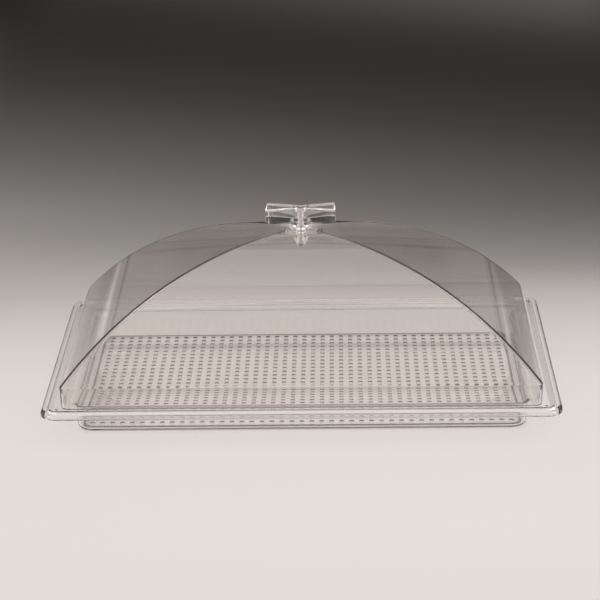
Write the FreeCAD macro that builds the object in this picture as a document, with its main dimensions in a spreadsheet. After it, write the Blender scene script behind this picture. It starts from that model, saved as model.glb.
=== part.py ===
import FreeCAD, Part
import math
import os
import Sketcher

# Clear display tray with a perforated drip grid and a lift-off vault-shaped cover with a bow-tie knob.
# Millimetres. The origin is the middle of the tray's underside, X runs along the tray, Z points up.

SIZES = {
    # Tray: raised border with a turned-down lip, ledge for the cover, sunk well
    "tray_length": 530.0,
    "tray_width": 325.0,
    "tray_height": 35.0,
    "tray_wall": 2.5,
    "border_width": 11.0,
    "border_height": 3.0,
    "border_edge_radius": 1.1,
    "lip_drop": 1.5,
    "ledge_width": 24.0,
    "ledge_corner_radius": 6.0,
    "well_corner_radius": 14.0,
    "well_draft": 2.0,
    "floor_radius": 2.5,
    "corner_hole_diameter": 3.2,
    "corner_hole_inset_x": 5.0,
    "corner_hole_inset_y": 7.5,
    # Drip grid on the floor of the well
    "grid_clearance": 0.3,
    "grid_thickness": 2.0,
    "grid_hole_side": 5.6,
    "grid_hole_pitch_x": 20.6,
    "grid_hole_pitch_y": 20.0,
    "grid_edge_margin": 8.0,
    # Cover: upright skirt on the ledge, vault and flat knob seat
    "cover_gap_ends": 9.0,
    "cover_gap_sides": 6.5,
    "cover_wall": 3.0,
    "cover_inner_radius": 3.0,
    "skirt_height": 24.0,
    "dome_rise": 120.0,
    "crease_depth": 7.0,
    "seat_margin": 1.3,
    "seat_drop": 5.0,
    # Knob: bow-tie grip on a round neck
    "knob_length": 73.0,
    "knob_end_width": 32.0,
    "knob_waist_length": 17.0,
    "knob_height": 13.0,
    "knob_corner_radius": 2.5,
    "knob_edge_chamfer": 0.8,
    "neck_diameter": 24.4,
    "neck_height": 9.5,
    "pocket_wall": 2.0,
    # Screw, washers, seal and nut on the knob's axis
    "screw_diameter": 6.0,
    "screw_clearance": 0.3,
    "screw_head_diameter": 10.5,
    "screw_head_height": 3.0,
    "screw_head_clearance": 0.75,
    "screw_head_sink": 0.5,
    "screw_socket_width": 4.0,
    "screw_socket_depth": 1.8,
    "washer_thickness": 1.0,
    "washer_margin": 1.0,
    "seal_thickness": 0.8,
    "seal_inset": 0.4,
    "nut_top_diameter": 20.0,
    "nut_tip_diameter": 7.0,
    "nut_rim_height": 3.0,
    "nut_height": 15.0,
    "nut_bore_depth": 11.0,
}

# Heights and outlines that several pieces share, as expressions on the sheet
LEDGE = "(sizes.tray_height - sizes.border_height)"
FLANGE_UNDER = "(" + LEDGE + " - sizes.tray_wall)"
LIP_BOTTOM = "(" + FLANGE_UNDER + " - sizes.lip_drop)"
RIM_RADIUS = "(sizes.ledge_corner_radius + sizes.border_width)"
LEDGE_LENGTH = "(sizes.tray_length - 2 * sizes.border_width)"
LEDGE_WIDTH = "(sizes.tray_width - 2 * sizes.border_width)"
WELL_LENGTH = "(" + LEDGE_LENGTH + " - 2 * sizes.ledge_width)"
WELL_WIDTH = "(" + LEDGE_WIDTH + " - 2 * sizes.ledge_width)"
WELL_DEPTH = "(" + LEDGE + " - sizes.tray_wall)"
DRAW_IN = "tan(sizes.well_draft * 1deg)"

# The grid covers the flat part of the floor, inside the draft of the walls and the rounding at their foot
GRID_INSET = "(" + WELL_DEPTH + " * " + DRAW_IN + " + sizes.floor_radius + sizes.grid_clearance)"
GRID_LENGTH = "(" + WELL_LENGTH + " - 2 * " + GRID_INSET + ")"
GRID_WIDTH = "(" + WELL_WIDTH + " - 2 * " + GRID_INSET + ")"
GRID_RADIUS = "(sizes.well_corner_radius - " + GRID_INSET + ")"

# The cover stands on the ledge with a gap to the border. Each ridge is an arc in the vertical plane
# through two corners, level at the apex. The hollow's foot stands in by the wall, measured on the level.
COVER_LENGTH = "(" + LEDGE_LENGTH + " - 2 * sizes.cover_gap_ends)"
COVER_WIDTH = "(" + LEDGE_WIDTH + " - 2 * sizes.cover_gap_sides)"
COVER_RADIUS = "(sizes.cover_inner_radius + sizes.cover_wall)"
HALF_COVER_LENGTH = "(" + COVER_LENGTH + " / 2)"
HALF_COVER_WIDTH = "(" + COVER_WIDTH + " / 2)"
APEX = "(" + LEDGE + " + sizes.skirt_height + sizes.dome_rise)"
INNER_APEX = "(" + APEX + " - sizes.cover_wall)"
FOOT_REACH = "(" + HALF_COVER_LENGTH + " ^ 2 + " + HALF_COVER_WIDTH + " ^ 2)"
ARC_CENTRE_DEPTH = "((" + FOOT_REACH + " - sizes.dome_rise ^ 2) / (2 * sizes.dome_rise))"
LEVEL_WALL = "sizes.cover_wall * sqrt(1 + (%s * " + ARC_CENTRE_DEPTH + " / " + FOOT_REACH + ") ^ 2)"
INNER_HALF_LENGTH = "(" + HALF_COVER_LENGTH + " - " + LEVEL_WALL % HALF_COVER_LENGTH + ")"
INNER_HALF_WIDTH = "(" + HALF_COVER_WIDTH + " - " + LEVEL_WALL % HALF_COVER_WIDTH + ")"
SECTION_SHARES = [1.0, 0.86, 0.7, 0.53, 0.36, 0.2, 0.08]

# Knob and its fastening, stacked on the cover's apex
SEAT_UNDER = "(" + APEX + " - sizes.seat_drop)"
NECK_BOTTOM = "(" + APEX + " + sizes.seal_thickness)"
BOW_BOTTOM = "(" + NECK_BOTTOM + " + sizes.neck_height)"
BOW_TOP = "(" + BOW_BOTTOM + " + sizes.knob_height)"
POCKET_DIAMETER = "(sizes.screw_head_diameter + 2 * sizes.screw_head_clearance)"
POCKET_DEPTH = "(sizes.washer_thickness + sizes.screw_head_height + sizes.screw_head_sink)"
POCKET_FLOOR = "(" + BOW_TOP + " - " + POCKET_DEPTH + ")"
WAIST_WIDTH = "(" + POCKET_DIAMETER + " + 2 * sizes.pocket_wall)"
SCREW_SEAT = "(" + POCKET_FLOOR + " + sizes.washer_thickness)"
SCREW_BORE = "(sizes.screw_diameter + 2 * sizes.screw_clearance)"
NUT_TOP = "(" + SEAT_UNDER + " - sizes.washer_thickness)"
HEAD_WASHER_DIAMETER = "(" + POCKET_DIAMETER + " - 2 * sizes.screw_clearance)"
SEAL_DIAMETER = "(sizes.neck_diameter - 2 * sizes.seal_inset)"
NUT_WASHER_DIAMETER = "(sizes.nut_top_diameter + 2 * sizes.washer_margin)"
SEAT_DIAMETER = "(sizes.neck_diameter + 2 * sizes.seat_margin)"

# How closely an edge has to lie to a height or an outline to be picked for rounding
EDGE_SLACK = 0.05

doc = FreeCAD.newDocument("display_tray")
sheet = doc.addObject("Spreadsheet::Sheet", "sizes")
for row, (alias, value) in enumerate(SIZES.items(), start=1):
    sheet.set("A%d" % row, alias)
    sheet.set("B%d" % row, str(value))
    sheet.setAlias("B%d" % row, alias)
doc.recompute()


def measure(expression):
    """The number that an expression on the sheet gives."""
    return float(sheet.evalExpression(expression))


def add_body(label):
    """An empty body whose label names its file."""
    body = doc.addObject("PartDesign::Body", label)
    body.Label = label
    return body


def add_sketch(body, name, role="XY_Plane", height="0"):
    """A sketch on one of the body's own origin planes, raised by height."""
    sketch = body.newObject("Sketcher::SketchObject", name)
    plane = [feature for feature in body.Origin.OriginFeatures if feature.Role == role][0]
    sketch.AttachmentSupport = [(plane, "")]
    sketch.MapMode = "FlatFace"
    sketch.setExpression("AttachmentOffset.Base.z", height)
    return sketch


def bind(sketch, name, constraint, expression):
    """Add one dimension to a sketch and tie it to the sheet."""
    index = sketch.addConstraint(constraint)
    sketch.renameConstraint(index, name)
    sketch.setExpression("Constraints." + name, expression)


def point(x, y):
    return FreeCAD.Vector(x, y, 0)


def corner_arc(centre_x, centre_y, radius, start_degrees):
    """A quarter circle, counter-clockwise from start_degrees."""
    circle = Part.Circle(point(centre_x, centre_y), FreeCAD.Vector(0, 0, 1), radius)
    start = math.radians(start_degrees)
    return Part.ArcOfCircle(circle, start, start + math.pi / 2)


def draw_rounded_rectangle(sketch, name, length, width, radius):
    """A centred rectangle with four equal round corners: lines and arcs in turn, counter-clockwise."""
    x = measure(length) / 2
    y = measure(width) / 2
    r = measure(radius)
    first = sketch.GeometryCount
    outline = [
        Part.LineSegment(point(-x + r, -y), point(x - r, -y)),
        corner_arc(x - r, -y + r, r, 270),
        Part.LineSegment(point(x, -y + r), point(x, y - r)),
        corner_arc(x - r, y - r, r, 0),
        Part.LineSegment(point(x - r, y), point(-x + r, y)),
        corner_arc(-x + r, y - r, r, 90),
        Part.LineSegment(point(-x, y - r), point(-x, -y + r)),
        corner_arc(-x + r, -y + r, r, 180),
    ]
    sketch.addGeometry(outline, False)
    for step in range(8):
        this_edge = first + step
        next_edge = first + (step + 1) % 8
        sketch.addConstraint(Sketcher.Constraint("Tangent", this_edge, 2, next_edge, 1))
    bottom, right, top, left = first, first + 2, first + 4, first + 6
    sketch.addConstraint(Sketcher.Constraint("Horizontal", bottom))
    sketch.addConstraint(Sketcher.Constraint("Vertical", right))
    sketch.addConstraint(Sketcher.Constraint("Horizontal", top))
    sketch.addConstraint(Sketcher.Constraint("Vertical", left))
    for arc in (first + 3, first + 5, first + 7):
        sketch.addConstraint(Sketcher.Constraint("Equal", first + 1, arc))
    sketch.addConstraint(Sketcher.Constraint("Symmetric", first + 3, 3, first + 7, 3, -1, 1))
    bind(sketch, name + "_length", Sketcher.Constraint("DistanceX", left, 1, right, 1, 2 * x), length)
    bind(sketch, name + "_width", Sketcher.Constraint("DistanceY", bottom, 1, top, 1, 2 * y), width)
    bind(sketch, name + "_radius", Sketcher.Constraint("Radius", first + 1, r), radius)


def draw_circle(sketch, name, diameter, x="0", y="0"):
    """A circle of a bound diameter, at a bound place."""
    centre = point(measure(x), measure(y))
    radius = measure(diameter) / 2
    circle = sketch.addGeometry(Part.Circle(centre, FreeCAD.Vector(0, 0, 1), radius), False)
    if x == "0":
        sketch.addConstraint(Sketcher.Constraint("Coincident", circle, 3, -1, 1))
    else:
        bind(sketch, name + "_x", Sketcher.Constraint("DistanceX", -1, 1, circle, 3, centre.x), x)
        bind(sketch, name + "_y", Sketcher.Constraint("DistanceY", -1, 1, circle, 3, centre.y), y)
    bind(sketch, name + "_diameter", Sketcher.Constraint("Diameter", circle, 2 * radius), diameter)


def draw_profile(sketch, corners, radius=None, sharp=()):
    """A closed outline, counter-clockwise, whose corners are (name, x, y) with x and y expressions.
    Given a radius, every corner that isn't named sharp is rounded: the straight outline is then only
    a guide, and the outline proper is a line along each guide and an arc round each corner."""
    places = [point(measure(x), measure(y)) for name, x, y in corners]
    count = len(corners)
    guides = [Part.LineSegment(places[step], places[(step + 1) % count]) for step in range(count)]
    sketch.addGeometry(guides, radius is not None)
    for step in range(count):
        sketch.addConstraint(Sketcher.Constraint("Coincident", step, 2, (step + 1) % count, 1))
    for step, (name, x, y) in enumerate(corners):
        if x == "0":
            sketch.addConstraint(Sketcher.Constraint("Vertical", -1, 1, step, 1))
        else:
            bind(sketch, name + "_x", Sketcher.Constraint("DistanceX", -1, 1, step, 1, places[step].x), x)
        if y == "0":
            sketch.addConstraint(Sketcher.Constraint("Horizontal", -1, 1, step, 1))
        else:
            bind(sketch, name + "_y", Sketcher.Constraint("DistanceY", -1, 1, step, 1, places[step].y), y)
    if radius is None:
        return

    r = measure(radius)
    ways = [(places[(step + 1) % count] - places[step]).normalize() for step in range(count)]
    setbacks = []
    for step, (name, x, y) in enumerate(corners):
        turn = ways[step - 1].getAngle(ways[step])
        setbacks.append(0.0 if name in sharp else r * math.tan(turn / 2))
    for step in range(count):
        start = places[step] + ways[step] * setbacks[step]
        end = places[(step + 1) % count] - ways[step] * setbacks[(step + 1) % count]
        sketch.addGeometry(Part.LineSegment(start, end), False)
    arcs = []
    for step, (name, x, y) in enumerate(corners):
        before, after = count + (step - 1) % count, count + step
        if name in sharp:
            sketch.addConstraint(Sketcher.Constraint("Coincident", before, 2, step, 1))
            sketch.addConstraint(Sketcher.Constraint("Coincident", after, 1, step, 1))
            continue
        sketch.addConstraint(Sketcher.Constraint("PointOnObject", before, 2, (step - 1) % count))
        sketch.addConstraint(Sketcher.Constraint("PointOnObject", after, 1, step))
        leave = places[step] - ways[step - 1] * setbacks[step]
        join = places[step] + ways[step] * setbacks[step]
        inwards = FreeCAD.Vector(-ways[step].y, ways[step].x, 0)
        centre = join + inwards * r
        middle = centre + (places[step] - centre).normalize() * r
        arc = sketch.addGeometry(Part.Arc(leave, middle, join), False)
        sketch.addConstraint(Sketcher.Constraint("Tangent", before, 2, arc, 1))
        sketch.addConstraint(Sketcher.Constraint("Tangent", arc, 2, after, 1))
        if arcs:
            sketch.addConstraint(Sketcher.Constraint("Equal", arcs[0], arc))
        arcs.append(arc)
    bind(sketch, "corner_radius", Sketcher.Constraint("Radius", arcs[0], r), radius)


def add_pad(body, name, sketch, length, downwards=False, draft=None):
    """Add material along the sketch's normal, or against it; a draft draws the far end in."""
    pad = body.newObject("PartDesign::Pad", name)
    pad.Profile = sketch
    pad.setExpression("Length", length)
    pad.Reversed = downwards
    if draft:
        pad.setExpression("TaperAngle", draft)
    doc.recompute()
    return pad


def add_pocket(body, name, sketch, depth, upwards=False, draft=None):
    """Take material away, downwards unless told otherwise; a draft draws the far end in."""
    before = body.Shape.Volume
    pocket = body.newObject("PartDesign::Pocket", name)
    pocket.Profile = sketch
    pocket.setExpression("Length", depth)
    pocket.Reversed = upwards
    if draft:
        pocket.setExpression("TaperAngle", draft)
    doc.recompute()
    if body.Shape.Volume >= before:
        raise RuntimeError(name + " takes nothing away")
    return pocket


def flat_edges(shape, height, half_length, half_width):
    """Names of the edges that lie level at a height, along an outline of the given half sizes."""
    names = []
    for number, edge in enumerate(shape.Edges, start=1):
        box = edge.BoundBox
        if box.ZLength > EDGE_SLACK or abs(box.ZMin - height) > EDGE_SLACK:
            continue
        reach_x = max(abs(box.XMin), abs(box.XMax))
        reach_y = max(abs(box.YMin), abs(box.YMax))
        if abs(reach_x - half_length) < EDGE_SLACK or abs(reach_y - half_width) < EDGE_SLACK:
            names.append("Edge%d" % number)
    return names


def upright_edges(shape, half_length):
    """Names of the straight upright edges at either end of a shape."""
    names = []
    for number, edge in enumerate(shape.Edges, start=1):
        box = edge.BoundBox
        straight = box.XLength < EDGE_SLACK and box.YLength < EDGE_SLACK
        if straight and abs(abs(box.XMax) - half_length) < EDGE_SLACK:
            names.append("Edge%d" % number)
    return names


def add_fillet(body, name, edges, radius):
    """Round the named edges of the body as it stands."""
    base = body.Tip
    fillet = body.newObject("PartDesign::Fillet", name)
    fillet.Base = (base, edges)
    fillet.setExpression("Radius", radius)
    doc.recompute()
    return fillet


def add_revolution(body, name, sketch):
    """Turn a half outline once round the vertical axis."""
    turned = body.newObject("PartDesign::Revolution", name)
    turned.Profile = sketch
    turned.ReferenceAxis = (sketch, ["V_Axis"])
    turned.Angle = 360.0
    doc.recompute()
    return turned


def build_tray():
    """Tray: a thin flange with a raised border and a turned-down lip round a sunk well."""
    body = add_body("tray")
    rim = add_sketch(body, "rim_outline", height=LIP_BOTTOM)
    draw_rounded_rectangle(rim, "rim", "sizes.tray_length", "sizes.tray_width", RIM_RADIUS)
    add_pad(body, "rim", rim, "sizes.tray_height - " + LIP_BOTTOM)

    # Underside of the flange, inside the lip, then the groove that follows the raised border
    lip_length = "(sizes.tray_length - 2 * sizes.tray_wall)"
    lip_width = "(sizes.tray_width - 2 * sizes.tray_wall)"
    lip_radius = "(" + RIM_RADIUS + " - sizes.tray_wall)"
    lip_inside = add_sketch(body, "lip_inside", height=LIP_BOTTOM)
    draw_rounded_rectangle(lip_inside, "inside", lip_length, lip_width, lip_radius)
    add_pocket(body, "flange_underside", lip_inside, "sizes.lip_drop", upwards=True)
    groove = add_sketch(body, "border_groove", height=FLANGE_UNDER)
    draw_rounded_rectangle(groove, "outer", lip_length, lip_width, lip_radius)
    draw_rounded_rectangle(groove, "inner", LEDGE_LENGTH + " + 2 * sizes.tray_wall",
                           LEDGE_WIDTH + " + 2 * sizes.tray_wall",
                           "sizes.ledge_corner_radius + sizes.tray_wall")
    add_pocket(body, "groove", groove, "sizes.border_height", upwards=True)

    # Ledge inside the border, where the cover stands
    ledge = add_sketch(body, "ledge_outline", height="sizes.tray_height")
    draw_rounded_rectangle(ledge, "ledge", LEDGE_LENGTH, LEDGE_WIDTH, "sizes.ledge_corner_radius")
    add_pocket(body, "ledge", ledge, "sizes.border_height")

    # Well: a tapered block under the flange, hollowed from above
    block_length = "(" + WELL_LENGTH + " + 2 * sizes.tray_wall)"
    block_width = "(" + WELL_WIDTH + " + 2 * sizes.tray_wall)"
    block = add_sketch(body, "well_block", height=LEDGE)
    draw_rounded_rectangle(block, "block", block_length, block_width,
                           "sizes.well_corner_radius + sizes.tray_wall")
    add_pad(body, "well_walls", block, LEDGE, downwards=True, draft="-sizes.well_draft")
    well = add_sketch(body, "well_outline", height=LEDGE)
    draw_rounded_rectangle(well, "well", WELL_LENGTH, WELL_WIDTH, "sizes.well_corner_radius")
    add_pocket(body, "well", well, WELL_DEPTH, draft="-sizes.well_draft")

    # A small round hole in each corner of the ledge, outside the cover
    holes = add_sketch(body, "corner_holes", height=LEDGE)
    hole_x = "(" + LEDGE_LENGTH + " / 2 - sizes.corner_hole_inset_x)"
    hole_y = "(" + LEDGE_WIDTH + " / 2 - sizes.corner_hole_inset_y)"
    for name, x_sign, y_sign in (("a", "", ""), ("b", "-", ""), ("c", "-", "-"), ("d", "", "-")):
        draw_circle(holes, name, "sizes.corner_hole_diameter", x_sign + hole_x, y_sign + hole_y)
    add_pocket(body, "corner_hole", holes, "sizes.tray_wall")

    # Rounded foot of the well, inside and outside with one wall between, and rounded top of the border
    floor_x = measure(WELL_LENGTH + " / 2 - " + WELL_DEPTH + " * " + DRAW_IN)
    floor_y = measure(WELL_WIDTH + " / 2 - " + WELL_DEPTH + " * " + DRAW_IN)
    inner_foot = flat_edges(body.Shape, measure("sizes.tray_wall"), floor_x, floor_y)
    add_fillet(body, "floor_inner", inner_foot, "sizes.floor_radius")
    foot_x = measure(block_length + " / 2 - " + LEDGE + " * " + DRAW_IN)
    foot_y = measure(block_width + " / 2 - " + LEDGE + " * " + DRAW_IN)
    outer_foot = flat_edges(body.Shape, 0.0, foot_x, foot_y)
    add_fillet(body, "floor_outer", outer_foot, "sizes.floor_radius + sizes.tray_wall")
    top = measure("sizes.tray_height")
    top_edges = flat_edges(body.Shape, top, measure("sizes.tray_length / 2"), measure("sizes.tray_width / 2"))
    top_edges += flat_edges(body.Shape, top, measure(LEDGE_LENGTH + " / 2"), measure(LEDGE_WIDTH + " / 2"))
    add_fillet(body, "border_edges", top_edges, "sizes.border_edge_radius")
    return body


def build_drip_grid():
    """Drip grid: a plate with rows of drain holes, lying on the flat floor of the well."""
    grid = doc.addObject("Part::Feature", "drip_grid")
    grid.Label = "drip_grid"
    length = measure(GRID_LENGTH)
    width = measure(GRID_WIDTH)
    radius = measure(GRID_RADIUS)
    thickness = measure("sizes.grid_thickness")
    side = measure("sizes.grid_hole_side")
    pitch_x = measure("sizes.grid_hole_pitch_x")
    pitch_y = measure("sizes.grid_hole_pitch_y")
    margin = measure("sizes.grid_edge_margin")

    plate = Part.makeBox(length, width, thickness, FreeCAD.Vector(-length / 2, -width / 2, 0))
    upright = [edge for edge in plate.Edges if edge.BoundBox.ZLength > thickness / 2]
    plate = plate.makeFillet(radius, upright)
    outline = [face for face in plate.Faces if face.normalAt(0, 0).z < -0.5][0].OuterWire

    columns = int((length - 2 * margin - side) / pitch_x) + 1
    rows = int((width - 2 * margin - side) / pitch_y) + 1
    holes = []
    for column in range(columns):
        for row in range(rows):
            left = (column - (columns - 1) / 2) * pitch_x - side / 2
            front = (row - (rows - 1) / 2) * pitch_y - side / 2
            corners = [(0, 0), (side, 0), (side, side), (0, side), (0, 0)]
            ring = [FreeCAD.Vector(left + x, front + y, 0) for x, y in corners]
            holes.append(Part.makePolygon(ring))
    face = Part.makeFace([outline] + holes, "Part::FaceMakerBullseye")
    grid.Shape = face.extrude(FreeCAD.Vector(0, 0, thickness))
    grid.Placement = FreeCAD.Placement(FreeCAD.Vector(0, 0, measure("sizes.tray_wall")), FreeCAD.Rotation())
    print("drip grid holes", columns * rows)
    return grid


def vault_section(body, name, share, half_length, half_width, rise, apex, radius):
    """One level section of a vault: its corners lie on the ridges, a share of the way from the apex
    to the foot, and the long sides bow out a little to the crease in their middle."""
    reach = "(%s ^ 2 + %s ^ 2)" % (half_length, half_width)
    ridge_radius = "((%s + %s ^ 2) / (2 * %s))" % (reach, rise, rise)
    drop = "(%s - sqrt(%s ^ 2 - %g * %s))" % (ridge_radius, ridge_radius, share * share, reach)
    sketch = add_sketch(body, name, height=apex + " - " + drop)
    half_x = "(%g * %s)" % (share, half_length)
    half_y = "(%g * %s)" % (share, half_width)
    middle_y = "(%s + %g * sizes.crease_depth)" % (half_y, 4 * share * (1 - share))
    draw_profile(sketch, [
        ("front_left", "-" + half_x, "-" + half_y),
        ("front_middle", "0", "-" + middle_y),
        ("front_right", half_x, "-" + half_y),
        ("back_right", half_x, half_y),
        ("back_middle", "0", middle_y),
        ("back_left", "-" + half_x, half_y),
    ], radius="(%g * %s)" % (share, radius), sharp=("front_middle", "back_middle"))
    return sketch


def add_vault(body, kind, name, half_length, half_width, rise, apex, radius):
    """A vault through level sections, smooth from foot to top, creased where the sections are."""
    sections = []
    for number, share in enumerate(SECTION_SHARES):
        section_name = "%s_section_%d" % (name, number)
        sections.append(vault_section(body, section_name, share, half_length, half_width, rise, apex, radius))
    doc.recompute()
    vault = body.newObject(kind, name)
    vault.Profile = sections[0]
    vault.Sections = sections[1:]
    vault.Ruled = False
    doc.recompute()
    return vault


def build_dome_cover():
    """Cover: an upright skirt and a vault on four ridges, hollowed to one wall, with a flat knob seat."""
    body = add_body("dome_cover")
    skirt = add_sketch(body, "skirt_outline", height=LEDGE)
    draw_rounded_rectangle(skirt, "skirt", COVER_LENGTH, COVER_WIDTH, COVER_RADIUS)
    add_pad(body, "skirt", skirt, "sizes.skirt_height")
    add_vault(body, "PartDesign::AdditiveLoft", "vault", HALF_COVER_LENGTH, HALF_COVER_WIDTH,
              "sizes.dome_rise", APEX, COVER_RADIUS)

    # Hollow: the skirt's inside, then the vault drawn in by one wall
    inside = add_sketch(body, "skirt_inside", height=LEDGE)
    draw_rounded_rectangle(inside, "inside", COVER_LENGTH + " - 2 * sizes.cover_wall",
                           COVER_WIDTH + " - 2 * sizes.cover_wall", "sizes.cover_inner_radius")
    add_pocket(body, "skirt_hollow", inside, "sizes.skirt_height", upwards=True)
    add_vault(body, "PartDesign::SubtractiveLoft", "vault_hollow", INNER_HALF_LENGTH, INNER_HALF_WIDTH,
              "(sizes.dome_rise - sizes.cover_wall)", INNER_APEX, "sizes.cover_inner_radius")

    # Flat seat for the knob, thicker than the wall, and the screw's hole
    seat = add_sketch(body, "seat_outline", height=SEAT_UNDER)
    draw_circle(seat, "seat", SEAT_DIAMETER)
    add_pad(body, "seat", seat, "sizes.seat_drop")
    hole = add_sketch(body, "screw_hole", height=APEX)
    draw_circle(hole, "hole", SCREW_BORE)
    add_pocket(body, "screw_passage", hole, "sizes.seat_drop")
    return body


def build_knob():
    """Knob: a bow-tie grip on a round neck, bored for the screw with a pocket for its head."""
    body = add_body("knob")
    neck = add_sketch(body, "neck_outline", height=NECK_BOTTOM)
    draw_circle(neck, "neck", "sizes.neck_diameter")
    add_pad(body, "neck", neck, "sizes.neck_height")
    bow = add_sketch(body, "bow_outline", height=BOW_BOTTOM)
    end_x = "(sizes.knob_length / 2)"
    end_y = "(sizes.knob_end_width / 2)"
    waist_x = "(sizes.knob_waist_length / 2)"
    waist_y = "(" + WAIST_WIDTH + " / 2)"
    draw_profile(bow, [
        ("end_a", "-" + end_x, "-" + end_y),
        ("waist_a", "-" + waist_x, "-" + waist_y),
        ("waist_b", waist_x, "-" + waist_y),
        ("end_b", end_x, "-" + end_y),
        ("end_c", end_x, end_y),
        ("waist_c", waist_x, waist_y),
        ("waist_d", "-" + waist_x, waist_y),
        ("end_d", "-" + end_x, end_y),
    ])
    add_pad(body, "bow", bow, "sizes.knob_height")
    ends = upright_edges(body.Shape, measure(end_x))
    add_fillet(body, "bow_corners", ends, "sizes.knob_corner_radius")
    top = measure(BOW_TOP)
    rim = [
        "Edge%d" % number for number, edge in enumerate(body.Shape.Edges, start=1)
        if edge.BoundBox.ZMin > top - EDGE_SLACK
    ]
    base = body.Tip
    bevel = body.newObject("PartDesign::Chamfer", "bow_bevel")
    bevel.Base = (base, rim)
    bevel.setExpression("Size", "sizes.knob_edge_chamfer")
    doc.recompute()
    bore = add_sketch(body, "screw_bore", height=BOW_TOP)
    draw_circle(bore, "bore", SCREW_BORE)
    add_pocket(body, "bore", bore, "sizes.knob_height + sizes.neck_height")
    recess = add_sketch(body, "screw_pocket", height=BOW_TOP)
    draw_circle(recess, "recess", POCKET_DIAMETER)
    add_pocket(body, "pocket", recess, POCKET_DEPTH)
    return body


def build_knob_screw():
    """Screw: a low cylinder head with a hexagon socket and a plain shank down to the nut."""
    body = add_body("knob_screw")
    half = add_sketch(body, "screw_half", role="XZ_Plane")
    tip = "(" + NUT_TOP + " - sizes.nut_bore_depth + sizes.screw_clearance)"
    shank = "(sizes.screw_diameter / 2)"
    head = "(sizes.screw_head_diameter / 2)"
    top = "(" + SCREW_SEAT + " + sizes.screw_head_height)"
    draw_profile(half, [
        ("tip_axis", "0", tip),
        ("tip_edge", shank, tip),
        ("shank_top", shank, SCREW_SEAT),
        ("head_under", head, SCREW_SEAT),
        ("head_top", head, top),
        ("top_axis", "0", top),
    ])
    add_revolution(body, "turned", half)
    crown = flat_edges(body.Shape, measure(top), measure(head), measure(head))
    add_fillet(body, "crown", crown, "sizes.screw_head_height / 3")
    socket = add_sketch(body, "socket", height=top)
    side = "(sizes.screw_socket_width / sqrt(3))"
    half_flat = "(sizes.screw_socket_width / 2)"
    draw_profile(socket, [
        ("right", side, "0"),
        ("back_right", "(" + side + " / 2)", half_flat),
        ("back_left", "-(" + side + " / 2)", half_flat),
        ("left", "-" + side, "0"),
        ("front_left", "-(" + side + " / 2)", "-" + half_flat),
        ("front_right", "(" + side + " / 2)", "-" + half_flat),
    ])
    add_pocket(body, "socket_hole", socket, "sizes.screw_socket_depth")
    return body


def build_washer(label, bottom, diameter, thickness):
    """A flat ring round the screw, standing on bottom."""
    body = add_body(label)
    ring = add_sketch(body, label + "_ring", height=bottom)
    draw_circle(ring, "outer", diameter)
    draw_circle(ring, "inner", SCREW_BORE)
    add_pad(body, label + "_pad", ring, thickness)
    return body


def build_cap_nut():
    """Nut: a cone that narrows downwards to a blunt tip and closes the end of the screw."""
    body = add_body("cap_nut")
    half = add_sketch(body, "nut_half", role="XZ_Plane")
    bore = "(sizes.screw_diameter / 2 + sizes.screw_clearance)"
    rim = "(sizes.nut_top_diameter / 2)"
    tip = "(sizes.nut_tip_diameter / 2)"
    bore_end = "(" + NUT_TOP + " - sizes.nut_bore_depth)"
    bottom = "(" + NUT_TOP + " - sizes.nut_height)"
    draw_profile(half, [
        ("tip_axis", "0", bottom),
        ("tip_edge", tip, bottom),
        ("rim_low", rim, "(" + NUT_TOP + " - sizes.nut_rim_height)"),
        ("rim_high", rim, NUT_TOP),
        ("mouth", bore, NUT_TOP),
        ("bore_edge", bore, bore_end),
        ("bore_axis", "0", bore_end),
    ])
    add_revolution(body, "turned_nut", half)
    return body


pieces = [
    build_tray(),
    build_drip_grid(),
    build_dome_cover(),
    build_knob(),
    build_knob_screw(),
    build_washer("screw_washer", POCKET_FLOOR, HEAD_WASHER_DIAMETER, "sizes.washer_thickness"),
    build_washer("knob_seal", APEX, SEAL_DIAMETER, "sizes.seal_thickness"),
    build_washer("nut_washer", NUT_TOP, NUT_WASHER_DIAMETER, "sizes.washer_thickness"),
    build_cap_nut(),
]
doc.recompute()

for item in doc.Objects:
    if "Invalid" in item.State or "Error" in item.State:
        raise RuntimeError(item.Name + " did not recompute: " + str(item.State))
os.makedirs("parts", exist_ok=True)
for piece in pieces:
    if piece.Shape.isNull() or not piece.Shape.isValid():
        raise RuntimeError(piece.Label + " has no valid shape")
    piece.Shape.exportStep("parts/%s.step" % piece.Label)
    box = piece.Shape.BoundBox
    print(piece.Label, len(piece.Shape.Solids), round(piece.Shape.Volume, 1),
          [round(v, 2) for v in (box.XMin, box.YMin, box.ZMin, box.XMax, box.YMax, box.ZMax)])
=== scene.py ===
import math

import bpy
import numpy as np
from mathutils import Matrix, Vector


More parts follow.
